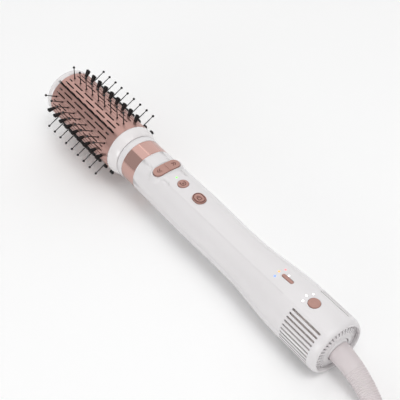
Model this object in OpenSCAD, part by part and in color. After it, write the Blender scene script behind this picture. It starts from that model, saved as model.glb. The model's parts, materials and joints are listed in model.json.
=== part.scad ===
// Hot air styler with a motor-turned round brush, lying on a table with its control panel up.
// Every piece is drawn about the handle's own axis: X runs towards the brush tip, Y to the left
// of the panel and Z out of the panel, with X = 0 at the rear edge of the trim band.
// rested() then lays a piece down: one pin of the brush and the rear rim touch the table, z = 0.

/* [Handle] */
// Radius of the handle where it meets the trim band
front_r = 21.4; // [21:0.1:22]
// Radius of the slight swell under the controls
swell_r = 21.8; // [21.4:0.1:22.4]
// Radius at the waist, the thinnest place
waist_r = 21; // [20.8:0.1:21.4]
// Radius of the air intake end
rear_r = 25.7; // [25:0.1:27]
// Length from the trim band to the rear rim
handle_l = 243; // [238:1:260]
// Distance from the band to the swell
swell_at = 67; // [60:1:75]
// Length of the straight waist
waist_l = 10; // [8:1:12]
// Distance from the rear rim to the start of the flare
flare_from = 115; // [110:1:117]
// Distance from the rear rim to the end of the flare
flare_to = 43; // [40:1:45]
// Wall of both half shells
wall = 2.2; // [2:0.1:2.4]
// How far the crowned control panel lies under the round of the handle
panel_drop = 0.6; // [0.4:0.1:0.8]
// How much larger than the handle the panel's own radius is
panel_grow = 7.55; // [6:0.05:9]
// Height of the parting plane of the half shells over the axis
split_z = 0.9; // [0.6:0.1:1.2]
// Width of the fine grooves along the panel and the parting plane
groove_w = 0.3; // [0.2:0.05:0.4]
// Depth of those grooves
groove_d = 0.3; // [0.2:0.05:0.4]

/* [Air intake] */
// Length over which the rear rim rounds off
rim_l = 8; // [6:0.5:9]
// Depth of that rounding, from the intake radius to the crest
rim_h = 3.5; // [3:0.1:4]
// Depth from the crest to the edge of the grille recess
lip_d = 2.5; // [2:0.1:3]
// Radius of the grille recess
recess_r = 21.3; // [20.8:0.1:21.6]
// Number of radial slots in the rear grille
grille_slots = 32; // [24:1:36]
// Width of a grille slot at its outer end
grille_slot_w = 1.9; // [1.2:0.1:2]
// Width of a grille slot at its inner end
grille_slot_in_w = 0.8; // [0.6:0.1:1]
// Radius where the grille slots begin
grille_in_r = 14; // [13.8:0.1:15]
// How far the grille's hub stands out from its edge
grille_rise = 2.8; // [2.2:0.1:3]
// Thickness of the rear grille
grille_t = 2.2; // [2:0.1:2.6]
// Length of a side slot
vent_l = 31; // [24:1:32]
// Width of a side slot
vent_w = 1.7; // [1.2:0.1:1.9]
// Angle from one side slot to the next
vent_step = 8.3; // [8:0.1:8.6]
// Angle of the first side slot from the panel's middle
vent_first = 34; // [33:0.5:35]
// Side slots on each flank
vents_side = 14; // [8:1:14]
// Distance from the rear rim to the middle of the side slots
vent_from = 23; // [22:1:24]
// Radius of the intake filter
filter_r = 22.8; // [22.2:0.1:23]

/* [Controls] */
// Distance from the band to the direction rocker
rocker_at = 22.5; // [21:0.5:24]
// Length of the rocker, across the handle
rocker_l = 26.4; // [25:0.2:28]
// Width of the rocker
rocker_w = 10.4; // [10:0.2:11]
// Rise of the rocker's middle over the front radius
rocker_rise = 1.1; // [0.9:0.1:1.4]
// Swing of the rocker each way
rocker_swing = 3; // [2:0.5:3]
// Distance from the band to the round button
round_at = 47; // [45:0.5:49]
// Radius of the round button
round_r = 5; // [4.6:0.05:5.4]
// Distance from the band to the oval button
oval_at = 69.7; // [68:0.1:72]
// Length of the oval button, along the handle
oval_l = 13.2; // [12.5:0.1:14]
// Width of the oval button
oval_w = 10.4; // [10:0.1:11]
// Distance from the rear rim to the heat button
heat_from = 60.5; // [58:0.5:62]
// Length of the heat button
heat_l = 12; // [11:0.1:13]
// Width of the heat button
heat_w = 3.2; // [3:0.1:3.6]
// Distance from the rear rim to the power button
power_from = 30.3; // [29:0.1:32]
// Radius of the power button
power_r = 5; // [4.6:0.1:5.4]
// Travel of the push buttons
press = 0.8; // [0.5:0.1:0.9]
// Gap round every button
button_gap = 0.25; // [0.2:0.05:0.35]
// Radius of the small lamps
lamp_r = 0.9; // [0.8:0.05:1.1]
// Radius of the three speed lamps
speed_lamp_r = 1.2; // [1:0.05:1.4]

/* [Nose] */
// Length of the trim band
band_l = 18; // [16:0.5:19]
// Wall of the trim band
band_t = 1.1; // [0.9:0.1:1.2]
// Length of the white ring in front of the band
nose_l = 6.6; // [6:0.1:8]
// Gap between the white ring and the turning collar
nose_gap = 0.8; // [0.6:0.1:1.2]
// Outside radius of the drive sleeve
sleeve_r = 16; // [15.8:0.05:16.2]
// Wall of the drive sleeve
sleeve_t = 1.4; // [1.2:0.1:1.5]
// Wall of the nose bearing
bearing_t = 1.6; // [1.4:0.1:1.7]
// Running clearance of sleeve and spindle, on the radius
run_gap = 0.05; // [0.03:0.01:0.08]

/* [Brush] */
// Radius of the barrel
barrel_r = 25; // [24.6:0.1:25.6]
// Wall of the barrel
barrel_t = 1.2; // [1:0.1:1.4]
// Length of the barrel in front of the collar
barrel_l = 99.6; // [99:0.2:106]
// Length of the turning collar
collar_l = 11.2; // [10:0.1:13]
// Rise of the collar's rim over the barrel
collar_rise = 0.2; // [0.1:0.1:0.5]
// Length of the tip cap
cap_l = 8; // [6:0.5:9]
// Rounding of the tip cap's edge
cap_round = 3; // [2:0.5:4]
// Angle that the brush stands turned at rest
brush_turn = -1.5; // [-5:0.5:5]
// Tufts or pins in a row
row_count = 9; // [5:1:9]
// Distance from the last bristle of a row to the collar
row_end = 8.7; // [8:0.1:12]
// Distance from the barrel's front edge to the first bristle
row_start = 6.4; // [6:0.1:7]
// Radius at the centres of the pins' ball tips
pin_r = 37.8; // [36:0.1:39]
// Radius of a ball tip
ball_r = 1.1; // [0.9:0.05:1.3]
// Radius of a pin's stem, at its corners
stem_r = 0.55; // [0.45:0.05:0.7]
// Radius at the tuft ends
tuft_r = 32.2; // [30:0.1:33]
// Half length of a tuft along its row, at the barrel
tuft_base = 1.5; // [1.4:0.05:1.6]
// Half length of a tuft along its row, at its ends
tuft_spread = 2.6; // [2:0.1:2.8]
// Half of the spacing of a tuft's two rows of strands, at the barrel
tuft_half = 0.42; // [0.4:0.02:0.45]
// Half of that spacing at the tuft's ends
tuft_half_out = 0.75; // [0.6:0.05:0.8]
// Corner radius of one strand
strand_r = 0.44; // [0.3:0.02:0.46]
// Width of the long slot that each tuft strip shows through
strip_slot_w = 2.2; // [2:0.1:2.4]
// Width of an air slot in the barrel
slot_w = 1.4; // [1:0.1:1.6]
// Length of a long air slot
slot_l = 14.2; // [12:0.1:15]
// Distance from the barrel's rear edge to the first air slot
slot_start = 9.4; // [8:0.1:11]
// Distance from the last air slots to the barrel's front edge
slot_end = 4.2; // [4:0.1:6]

/* [Drive] */
// Teeth of the pinion
pinion_teeth = 12; // [11:1:13]
// Play of the teeth at the pitch circle
backlash = 0.3; // [0.2:0.05:0.4]
// Width of the pinion
pinion_l = 6; // [4:0.5:6]
// Radius of the gear motor
gear_motor_r = 7.8; // [7:0.1:8]
// Length of the gear motor
gear_motor_l = 32; // [28:1:36]

/* [Fan and heater] */
// Outside radius of the fan housing
fan_r = 17; // [16.6:0.1:17]
// Wall of the fan housing
fan_t = 1.1; // [0.9:0.1:1.2]
// Number of fan blades
blades = 7; // [5:1:9]
// Radius of the fan motor
motor_r = 10.5; // [9.5:0.1:11]
// Length of the fan motor
motor_l = 28; // [24:1:30]
// Outside radius of the heater sleeve
heater_r = 16; // [15.5:0.1:16.4]
// Gap between the heater and the fan, along the axis
heater_gap = 9; // [7:0.5:10]
// Turns of the heater wire
heater_turns = 12; // [8:1:14]
// Diameter of the coiled heater wire
heater_wire_d = 1.6; // [1.2:0.1:2]

/* [Cord] */
// Diameter of the mains lead
cord_d = 7; // [6.4:0.1:7]
// Angle that the ball joint droops the cord guard by
guard_droop = 7; // [5:0.5:8]
// Radius of the swivel ball
swivel_r = 13.4; // [13:0.1:13.6]
// Radius of the guard at its root
guard_root_r = 9.4; // [9:0.1:9.5]
// Radius of the guard where its ribs begin
guard_rib_r = 8.5; // [8.2:0.1:8.8]
// Radius of the guard at its end
guard_end_r = 7; // [6.6:0.1:7.4]
// Ribs on the guard
guard_ribs = 19; // [12:1:20]
// Inner radius of the stored coil, at the middle of the lead
coil_in_r = 28; // [28:0.1:29]
// Gap between neighbouring turns of the coil
coil_gap = 0.7; // [0.65:0.05:0.9]
// Spacing of the plug pins
plug_pin_gap = 19; // [18:1:20]

/* [Hidden] */
WHITE = "#ece9e9";
ROSE = "#bd968c";
DARK = "#2a292b";
STEEL = "#a9abad";
MICA = "#b9a37c";
BOARD = "#2f6b4b";
fine = 96;
small = 32;
far = 400;
fit = 0.1;
body_gap = 0.3;
crease = 0.4;
// Bristle rows round the brush, tufts and pins by turns
rows = 12;
// Gear module and the teeth of the ring gear inside the drive sleeve
gear_m = 0.8;
ring_teeth = 34;
// Turns of the stored coil in each of its two layers
coil_turns = 3.125;
// Plug pins of the two-pin European kind
plug_pin_r = 2.4;
plug_pin_l = 19;

// Stations of the handle, as distances behind the band
waist_at = handle_l - flare_from - waist_l;
flare_at = handle_l - flare_from;
flare_end = handle_l - flare_to;
vent_at = handle_l - vent_from;
heat_at = handle_l - heat_from;
power_at = handle_l - power_from;
rim_at = handle_l - rim_l;
crest_r = rear_r - rim_h;
grille_at = handle_l - lip_d;
grille_edge = grille_at - 0.5;
cavity_rear_r = rear_r - wall;
// Radius of the hole that the swivel ball shows through
hub_r = guard_root_r + 1.3;
swivel_at = handle_l - lip_d - 7;
ball_front = 9.2;
ball_back = 8;

// Stations of the nose and the brush, in front of the band's rear edge
nose_end = band_l + nose_l;
collar_at = nose_end + nose_gap;
barrel_at = collar_at + collar_l;
barrel_end = barrel_at + barrel_l;
bearing_r = sleeve_r + run_gap + bearing_t;
spigot_r = barrel_r - barrel_t - run_gap;
spigot_t = 1.5;
spigot_l = 4.4;
first_bristle = barrel_end - row_start;
last_bristle = barrel_at + row_end;
row_pitch = (first_bristle - last_bristle) / (row_count - 1);
strip_top_r = spigot_r - 0.45;
strip_base_r = strip_top_r - 1.8;
strip_w = 4;
strip_show = 0.1;
strip_rear = barrel_at + spigot_l + fit;
strip_front = barrel_end - spigot_l - fit;

// Posture on the table: the rearmost pin of the lowest row and the rear rim both touch it
pin_low = pin_r * cos(brush_turn);
rest_run = last_bristle + rim_at;
rest_fall = pin_low - crest_r;
function rim_reach(t) = sqrt(pow(rim_l * sin(t), 2) + pow(rim_h * cos(t), 2));
function tilt_for(reach) = asin((ball_r - reach) / norm([rest_run, rest_fall])) + atan2(rest_fall, rest_run);
rest_tilt = tilt_for(rim_reach(tilt_for(rim_h)));
axis_h = pin_low * cos(rest_tilt) + ball_r - last_bristle * sin(rest_tilt);
rear_reach = rim_at * cos(rest_tilt) + crest_r * sin(rest_tilt)
  + sqrt(pow(rim_l * cos(rest_tilt), 2) + pow(rim_h * sin(rest_tilt), 2));
front_reach = (barrel_end + cap_l - cap_round) * cos(rest_tilt)
  + (barrel_r - cap_round) * sin(rest_tilt) + cap_round;
shift_x = (rear_reach - front_reach) / 2;
function laid(p) = [shift_x + p[0] * cos(rest_tilt) - p[2] * sin(rest_tilt), p[1],
  axis_h + p[0] * sin(rest_tilt) + p[2] * cos(rest_tilt)];

// Outline of the handle
function ease(t) = (1 - cos(180 * t)) / 2;
function mix(a, b, t) = a + (b - a) * t;
function part(s, a, b) = (s - a) / (b - a);
function handle_r(s) =
  s <= swell_at ? mix(front_r, swell_r, ease(part(max(s, 0), 0, swell_at)))
  : s <= waist_at ? mix(swell_r, waist_r, ease(part(s, swell_at, waist_at)))
  : s <= flare_at ? waist_r
  : s <= flare_end ? mix(waist_r, rear_r, ease(part(s, flare_at, flare_end)))
  : rear_r;
stations = concat([for (i = [0:5]) swell_at * i / 5], [for (i = [1:5]) mix(swell_at, waist_at, i / 5)],
  [for (i = [0:12]) mix(flare_at, flare_end, i / 12)]);
rim_round = [for (a = [0:15:90]) [crest_r + rim_h * cos(a), -rim_at - rim_l * sin(a)]];
lip_round = [for (a = [30:30:90]) [crest_r - (crest_r - recess_r) * sin(a), -grille_at - lip_d * cos(a)]];

// Ribs inside the half shells: distance behind the band and the radius that they hold
fan_back = handle_l - 45;
fan_front = fan_back - 40;
heater_at = fan_front - heater_gap;
front_board_x = [rocker_at - 8.5, oval_at + 14.3];
heater_front = front_board_x[1] + 7;
heater_l = heater_at - heater_front;
ribs = [[fan_front + 4, fan_r], [fan_back - 8, fan_r],
  [heater_at - 5, heater_r], [heater_front + 5, heater_r]];
rib_t = 1.6;

// Boards, switches and screws
board_t = 1.2;
front_board_z = 12;
front_board_w = 16;
rear_board_z = fan_r + fit;
rear_board_w = 14.4;
rear_board_x = [heat_at - 14.5, power_at + 9.3];
switch_w = 6;
switch_h = 1.4;
plunger_h = 0.5;
plunger_r = 1.7;
rail_w = 1.4;
flange_w = 1.2;
flange_slack = 0.1;
flange_t = 0.7;
screw_at = [[oval_at, 12.5], [handle_l - 42, 13.5]];
boss_r = 2.9;
screw_r = 1.25;
head_r = 2.4;
head_z = -6;
screw_top = 8;
rocker_round = rocker_w / 2;
rocker_half = rocker_l / 2 - rocker_round;
rocker_pin_z = 17.2;
rocker_pin_r = 1;
rocker_plunger_y = 5;
pad_w = 1.5;
pad_slope = 0.35;
lug_x = rocker_round + body_gap;
lug_t = 2;
function top_z(s) = handle_r(s) - panel_drop;
function front_switch_top() = front_board_z + board_t + switch_h + plunger_h;
function rear_switch_top() = rear_board_z + board_t + switch_h + plunger_h;
// Height of the panel's crowned face over a point y off its middle
function panel_z(s, y) = sqrt(pow(handle_r(s) + panel_grow - panel_drop, 2) - y * y) - panel_grow;

// Gears
ring_pitch_r = gear_m * ring_teeth / 2;
pinion_pitch_r = gear_m * pinion_teeth / 2;
gear_centre = ring_pitch_r - pinion_pitch_r;
addendum = 0.8 * gear_m;
pressure = 25;
gear_at = 5;
ring_gear_l = pinion_l + 2;

// Air tube and spindle inside the brush
tube_r = 12;
tube_t = 1;
spindle_r = 4;
tube_end = barrel_end - 10;
plate_at = -6;
plate_t = 3;

module rested() translate([shift_x, 0, axis_h]) rotate([0, -rest_tilt, 0]) children();
module along(x) translate([x, 0, 0]) rotate([0, 90, 0]) children();
module around(a) rotate([-a, 0, 0]) children();
module revolved(outline) along(0) rotate_extrude($fn = fine) polygon(outline);
module rod(x0, x1, r, n = fine) along(x0) cylinder(h = x1 - x0, r = r, $fn = n);
module pipe(x0, x1, r0, r1) revolved([[r0, x0], [r1, x0], [r1, x1], [r0, x1]]);
module post(x, y, z0, z1, r) translate([x, y, z0]) cylinder(h = z1 - z0, r = r, $fn = small);
module box(low, high) translate(low) cube(high - low);
module stadium(l, w) {
  if (l > w) square([l - w, w], center = true);
  for (s = [-1, 1]) translate([s * (l - w) / 2, 0]) circle(d = w, $fn = 48);
}

// Half shells
module cavity() revolved(concat([[0, 1], [handle_r(0) - wall, 1]],
  [for (s = stations) [handle_r(s) - wall, -s]],
  [[cavity_rear_r, -grille_edge], [recess_r, -grille_edge], [recess_r, -handle_l - 1], [0, -handle_l - 1]]));
module panel_side(drop) translate([0, 0, -panel_grow]) revolved(concat([[0, 0]],
  [for (s = stations) [handle_r(s) + panel_grow - drop, -s]],
  [[rear_r + panel_grow - drop, -handle_l], [0, -handle_l]]));
// Fine grooves at the panel's edges and along the parting plane
panel_edge = acos(1 - panel_drop / panel_grow - panel_drop / front_r);
groove_end = handle_l - 53;
module groove_floor() revolved(concat([[0, 1], [front_r - groove_d, 1]],
  [for (s = stations) [handle_r(s) - groove_d, -s]],
  [[rear_r - groove_d, -rim_at - 1], [0, -rim_at - 1]]));
module grooves() difference() {
  union() {
    for (side = [-1, 1]) around(side * panel_edge)
      box([-groove_end, -groove_w / 2, 0], [1, groove_w / 2, rear_r + 1]);
    box([-rim_at, -rear_r - 1, split_z - groove_w / 2], [1, rear_r + 1, split_z + groove_w / 2]);
  }
  groove_floor();
}
module handle_skin() difference() {
  intersection() {
    revolved(concat([[0, 0]], [for (s = stations) [handle_r(s), -s]],
      rim_round, lip_round, [[0, -grille_at]]));
    panel_side(panel_drop);
  }
  cavity();
  grooves();
}
module rib_rings() difference() {
  for (r = ribs) pipe(-r[0] - rib_t / 2, -r[0] + rib_t / 2, r[1], handle_r(r[0]) - wall + crease);
  box([-rear_board_x[1] - 1, -rear_board_w / 2 - rail_w, rear_board_z - board_t],
    [-rear_board_x[0] + 1, rear_board_w / 2 + rail_w, far]);
}
module vents(first, last) for (k = [first:last]) for (side = [-1, 1])
  around(side * (vent_first + vent_step * k)) translate([-vent_at, 0, cavity_rear_r - 3])
    linear_extrude(8) stadium(vent_l, vent_w);
module upper_half() box([-far, -far, split_z], [far, far, far]);
module lower_half() box([-far, -far, -far], [far, far, split_z]);
module rails(x, w, z, reach) intersection() {
  union() for (side = [0, 1]) mirror([0, side, 0]) {
    box([-x[1], w / 2, z - 0.8], [-x[0], w / 2 + rail_w, far]);
    box([-x[1], w / 2 - 1, z - 0.8], [-x[0], w / 2 + 0.1, z]);
  }
  rod(-x[1] - 1, -x[0] + 1, reach);
}
module pad_body() {
  rotate([90, 0, 0]) linear_extrude(2 * rocker_half, center = true)
    polygon([[-pad_half(pad_foot), pad_foot], [pad_half(pad_foot), pad_foot],
      [pad_half(pad_top), pad_top], [-pad_half(pad_top), pad_top]]);
  for (side = [-1, 1]) translate([0, side * rocker_half, pad_foot])
    cylinder(h = pad_top - pad_foot, r1 = pad_half(pad_foot), r2 = pad_half(pad_top), $fn = fine);
}
module pad() intersection() {
  translate([-rocker_at, 0, 0]) pad_body();
  translate([0, 0, front_r - pad_crown]) rod(-rocker_at - 20, -rocker_at + 20, pad_crown);
}
function pad_half(z) = rocker_round + pad_w + pad_slope * (front_r - z);
pad_foot = 10;
pad_top = 24;
pad_crown = 70;
rocker_crown = 85;
rocker_top = front_r + rocker_rise;
rocker_sway = (rocker_top - rocker_pin_z) * sin(rocker_swing);
rocker_floor = 16;
module button_hole(s, y, r) post(-s, y, 8, far, r);
module lamp_at(s, y, r, z0) intersection() {
  post(-s, y, z0, far, r);
  panel_side(panel_drop - 0.08);
}
lamps_round_heat = [[10.2 - heat_at, 0], [8.8 - heat_at, 5.4], [8.7 - heat_at, -5.4]];
speed_lamp_at = [[8.9 - power_at, 0], [7 - power_at, 5.3], [7 - power_at, -5.3]];
heat_mark_at = [1.9 - heat_at, -heat_w / 2 - button_gap - lamp_r - 0.25];
green_lamp_at = [9.7 - round_at, 0];
// The small lamp beside the heat button sits in a blind seat, over that button's flange
heat_mark_floor = top_z(-heat_mark_at[0]) - 1;
module lamp_holes() {
  post(heat_mark_at[0], heat_mark_at[1], heat_mark_floor, far, lamp_r);
  for (p = lamps_round_heat) post(p[0], p[1], 8, far, lamp_r);
  for (p = speed_lamp_at) post(p[0], p[1], 8, far, speed_lamp_r);
  post(green_lamp_at[0], green_lamp_at[1], 8, far, lamp_r);
}
module shell_bosses(up) for (p = screw_at) for (side = [-1, 1]) intersection() {
  post(-p[0], side * p[1], up ? split_z : -far, up ? far : split_z, boss_r);
  rod(-p[0] - 5, -p[0] + 5, handle_r(p[0]) - wall + crease);
}
module rocker_lugs() for (side = [0, 1]) translate([-rocker_at, 0, 0]) mirror([side, 0, 0])
  box([lug_x, -2.5, rocker_pin_z - 2], [lug_x + lug_t, 2.5, front_r - 1.5]);
module upper_shell() color(WHITE) rested() difference() {
  union() {
    intersection() {
      union() {
        handle_skin();
        rib_rings();
      }
      upper_half();
    }
    difference() {
      pad();
      rod(-rocker_at - 20, -rocker_at + 20, handle_r(rocker_at) - wall + 0.2);
    }
    rails(front_board_x, front_board_w, front_board_z, waist_r - 1);
    rails(rear_board_x, rear_board_w, rear_board_z, handle_r(rear_board_x[0]) - 1.2);
    shell_bosses(true);
    rocker_lugs();
  }
  vents(0, 6);
  translate([-rocker_at, 0, rocker_floor]) linear_extrude(far) rotate(90)
    stadium(rocker_l + 2 * (button_gap + rocker_sway), rocker_w + 2 * button_gap);
  along(-rocker_at - 10) translate([-rocker_pin_z, 0, 0]) cylinder(h = 20, r = rocker_pin_r, $fn = small);
  button_hole(round_at, 0, round_r + button_gap);
  translate([-oval_at, 0, 8]) linear_extrude(40) stadium(oval_l + 2 * button_gap, oval_w + 2 * button_gap);
  translate([-heat_at, 0, 8]) linear_extrude(40) stadium(heat_l + 2 * button_gap, heat_w + 2 * button_gap);
  button_hole(power_at, 0, power_r + button_gap);
  lamp_holes();
  for (p = screw_at) for (side = [-1, 1]) post(-p[0], side * p[1], split_z - 1, screw_top + 0.5, screw_r);
}
module lower_shell() color(WHITE) rested() difference() {
  union() {
    intersection() {
      union() {
        handle_skin();
        rib_rings();
      }
      lower_half();
    }
    shell_bosses(false);
  }
  vents(7, vents_side - 1);
  for (p = screw_at) for (side = [-1, 1]) {
    post(-p[0], side * p[1], -far, head_z, head_r + fit);
    post(-p[0], side * p[1], -far, far, screw_r + fit);
  }
}
module case_screws() color(STEEL) rested() for (p = screw_at) for (side = [-1, 1]) difference() {
  union() {
    post(-p[0], side * p[1], head_z - 2, head_z, head_r);
    post(-p[0], side * p[1], head_z - 0.1, screw_top, screw_r);
  }
  for (a = [0, 90]) translate([-p[0], side * p[1], head_z - 2]) rotate(a) cube([3, 0.6, 2], center = true);
}

// Air intake end: grille, filter and the ball that the cord swivels on
module grille_slot() let (out_r = recess_r - 0.5 - grille_slot_w / 2) {
  polygon([[-grille_in_r, -grille_slot_in_w / 2], [-grille_in_r, grille_slot_in_w / 2],
    [-out_r, grille_slot_w / 2], [-out_r, -grille_slot_w / 2]]);
  translate([-out_r, 0]) circle(d = grille_slot_w, $fn = 24);
}
module rear_grille() color(WHITE) rested() difference() {
  revolved([[0, -grille_edge - grille_rise], [hub_r + 0.4, -grille_edge - grille_rise],
    [recess_r - fit, -grille_edge], [cavity_rear_r - fit, -grille_edge],
    [cavity_rear_r - fit, -grille_edge + grille_t], [0, -grille_edge + grille_t]]);
  for (k = [0:grille_slots - 1]) around(k * 360 / grille_slots)
    along(-handle_l - 1) linear_extrude(8) grille_slot();
  rod(-handle_l - 1, 0, hub_r, fine);
  translate([-swivel_at, 0, 0]) sphere(r = swivel_r + body_gap, $fn = fine);
}
filter_front = handle_l - 37;
module air_filter() color(DARK) rested() difference() {
  pipe(-grille_edge + grille_t, -filter_front, filter_r - 0.8, filter_r);
  box([-handle_l, -rear_board_w / 2 - 2, 0], [0, rear_board_w / 2 + 2, far]);
}
module swivel_socket() color(WHITE) rested() difference() {
  pipe(-grille_edge + grille_t, -swivel_at + ball_back, 6.4, swivel_r + 2);
  translate([-swivel_at, 0, 0]) sphere(r = swivel_r + run_gap, $fn = fine);
}
module swivel_axis() translate([-swivel_at, 0, 0]) rotate([0, -guard_droop, 0]) children();
neck_r = 4.2;
module swivel_ball() color(WHITE) rested() swivel_axis() difference() {
  intersection() {
    sphere(r = swivel_r, $fn = fine);
    rod(-ball_front, ball_back, swivel_r + 1);
  }
  rod(-far, far, neck_r + body_gap);
}

// Trim band, nose and the fixed parts that the brush turns on
module trim_band() color(ROSE) rested() pipe(0, band_l, front_r - band_t, front_r);
module nose_socket() color(DARK) rested() difference() {
  union() {
    revolved([[bearing_r, -2 * plate_t - 6], [front_r - wall - fit, -2 * plate_t - 6],
      [front_r - wall - fit, 0], [front_r - band_t, 0], [front_r - band_t, band_l], [bearing_r, band_l]]);
    intersection() {
      rod(plate_at, plate_at + plate_t, bearing_r + 0.1);
      union() {
        box([-far, -far, -far], [far, far, 2 - gear_centre / 2]);
        rod(-far, far, tube_r + 1);
      }
    }
  }
  difference() {
    rod(plate_at - 1, plate_at + plate_t + 1, tube_r - tube_t);
    box([-far, -far, -far], [far, far, 2 - gear_centre / 2]);
  }
  translate([0, 0, -gear_centre]) rod(plate_at - 1, plate_at + plate_t + 1, 3);
}
module nose_ring() color(WHITE) rested()
  revolved([[bearing_r, band_l], [front_r + 0.3, band_l], [front_r + 0.8, nose_end - 0.6],
    [front_r + 0.3, nose_end], [bearing_r, nose_end]]);
module nose_bearing() color("#8d7a55") rested() pipe(gear_at + 1, nose_end, sleeve_r + run_gap, bearing_r);
module air_tube() color(STEEL) rested() difference() {
  union() {
    pipe(plate_at + plate_t, tube_end, tube_r - tube_t, tube_r);
    pipe(tube_end - 2, tube_end, spindle_r, tube_r);
    rod(tube_end - 2, barrel_end + 1, spindle_r);
  }
  box([plate_at, -far, -far], [gear_at + pinion_l + 3, far, 2 - gear_centre / 2]);
  for (k = [0:4], a = [0:45:315]) around(a)
    translate([barrel_at + 8 + slot_pitch * k, -2, tube_r - 3]) cube([12, 4, 6]);
}
module gear_motor() color(STEEL) rested() translate([0, 0, -gear_centre]) difference() {
  union() {
    rod(plate_at - gear_motor_l, plate_at, gear_motor_r, 64);
    rod(plate_at - gear_motor_l - 3, plate_at - gear_motor_l, 2.5);
  }
  rod(plate_at - 4, plate_at + 1, gear_shaft_r + run_gap);
}
gear_shaft_r = 1.5;

// Involute teeth
function involute(base, t) = let (turned = t * PI / 180)
  [base * (cos(t) + turned * sin(t)), base * (sin(t) - turned * cos(t))];
function roll_for(base, r) = sqrt(max(0, pow(r / base, 2) - 1)) * 180 / PI;
function polar(r, a) = [r * cos(a), r * sin(a)];
function turn(p, a) = [p[0] * cos(a) - p[1] * sin(a), p[0] * sin(a) + p[1] * cos(a)];
function tooth_half(teeth, play) = 90 / teeth - play / (gear_m * teeth) * 180 / PI / 2;
function flank_start(teeth) = gear_m * teeth / 2 * cos(pressure);
function at_pitch(teeth) = roll_for(flank_start(teeth), gear_m * teeth / 2);
function pitch_angle(teeth) = let (p = involute(flank_start(teeth), at_pitch(teeth))) atan2(p[1], p[0]);
function tooth(teeth, r_in, r_out, play) = let (
    base = flank_start(teeth),
    first = roll_for(base, max(base, r_in)),
    last = roll_for(base, r_out),
    flank = [for (i = [0:5]) involute(base, mix(first, last, i / 5))],
    swing = tooth_half(teeth, play) + pitch_angle(teeth),
    right = [for (p = flank) turn(p, -swing)],
    root = polar(r_in, atan2(right[0][1], right[0][0])))
  concat([root], right, [for (i = [5:-1:0]) [right[i][0], -right[i][1]]], [[root[0], -root[1]]]);
module gear_outline(teeth, r_in, r_out, play, turned) polygon([for (k = [0:teeth - 1])
  each [for (p = tooth(teeth, r_in, r_out, play)) turn(p, turned + 360 * k / teeth)]]);
module drive_pinion() color(STEEL) rested() translate([0, 0, -gear_centre]) union() {
  along(gear_at) linear_extrude(pinion_l)
    gear_outline(pinion_teeth, pinion_pitch_r - 1.1 * addendum, pinion_pitch_r + addendum, backlash, 0);
  rod(plate_at - 3.9, gear_at + pinion_l + 1, gear_shaft_r);
}
module drive_sleeve() color("#d8d4cf") rested() difference() {
  union() {
    pipe(gear_at - 1, collar_at + 8, sleeve_r - sleeve_t, sleeve_r);
    pipe(gear_at - 1, gear_at - 1 + ring_gear_l, ring_pitch_r - addendum, sleeve_r - 0.5);
  }
  along(gear_at - 2) linear_extrude(ring_gear_l + 2)
    gear_outline(ring_teeth, ring_pitch_r - 1.05 * addendum - 0.05, ring_pitch_r + 1.1 * addendum,
      -backlash / 3, 0);
}

// Fan, motor and heater
module fan_housing() color(DARK) rested() union() {
  pipe(-fan_back, -fan_front, fan_r - fan_t, fan_r);
  pipe(-fan_front - 20, -fan_front - 1, motor_r, motor_r + 1.2);
  for (k = [0:4]) around(36 + 72 * k)
    box([-fan_front - 18, -0.6, motor_r + 0.8], [-fan_front - 2, 0.6, fan_r - fan_t / 2]);
}
motor_back = fan_front + 24;
module fan_motor() color(STEEL) rested() difference() {
  union() {
    rod(-motor_back, -motor_back + motor_l, motor_r, 64);
    rod(-motor_back + motor_l, -motor_back + motor_l + 2, 3);
  }
  rod(-motor_back - 1, -motor_back + 6, gear_shaft_r + run_gap);
}
module fan_shaft() color(STEEL) rested() rod(-fan_back + 1, -motor_back + 5.5, gear_shaft_r);
blade_t = 1.2;
module fan_impeller() color(DARK) rested() difference() {
  intersection() {
    union() {
      rod(-fan_back + 2, -motor_back - 2, 6, 48);
      for (k = [0:blades - 1]) around(k * 360 / blades)
        translate([(-fan_back - motor_back) / 2, 0, 5]) rotate(35)
          box([-6, -blade_t / 2, 0], [6, blade_t / 2, 14]);
    }
    rod(-fan_back + 1.5, -motor_back - 1.5, fan_r - fan_t - 0.5, fine);
  }
  rod(-fan_back, -motor_back, gear_shaft_r);
}
module heater_sleeve() color(MICA) rested() pipe(-heater_at, -heater_front, heater_r - 1, heater_r);
wire_mid_r = heater_r - 2.2 - heater_wire_d / 2;
wire_seat_r = wire_mid_r - heater_wire_d / 2 + 0.25;
mica_t = 1;
module heater_frame() color(MICA) rested() intersection() {
  union() for (a = [0, 90]) around(a) {
    box([-heater_at, -mica_t / 2, -wire_seat_r], [-heater_front, mica_t / 2, wire_seat_r]);
    for (x = [-heater_at, -heater_front - 4]) box([x, -mica_t / 2, -far], [x + 4, mica_t / 2, far]);
  }
  rod(-heater_at, -heater_front, heater_r - 1);
}

// Swept tubes: a ring of corners round each point of a path
function unit(v) = v / norm(v);
function heading(path, i) = unit(path[min(i + 1, len(path) - 1)] - path[max(i - 1, 0)]);
function sweep_ring(centre, ahead, r, sides, up) = let (
    across = unit(cross(ahead, up)),
    top = cross(across, ahead))
  [for (k = [0:sides - 1]) centre + r * (across * cos(360 * k / sides) + top * sin(360 * k / sides))];
module swept(path, radii, sides, up = [0, 0, 1]) {
  rings = len(path);
  corners = [for (i = [0:rings - 1])
    each sweep_ring(path[i], heading(path, i), is_list(radii) ? radii[i] : radii, sides, up)];
  skin = [for (i = [0:rings - 2], k = [0:sides - 1]) let (
      a = i * sides + k,
      b = i * sides + (k + 1) % sides)
    each [[a, b, a + sides], [b, b + sides, a + sides]]];
  last = (rings - 1) * sides;
  ends = [for (k = [1:sides - 2]) each [[0, k + 1, k], [last, last + k, last + k + 1]]];
  polyhedron(corners, concat(skin, ends));
}
heater_pitch = (heater_l - 12) / heater_turns;
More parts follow.
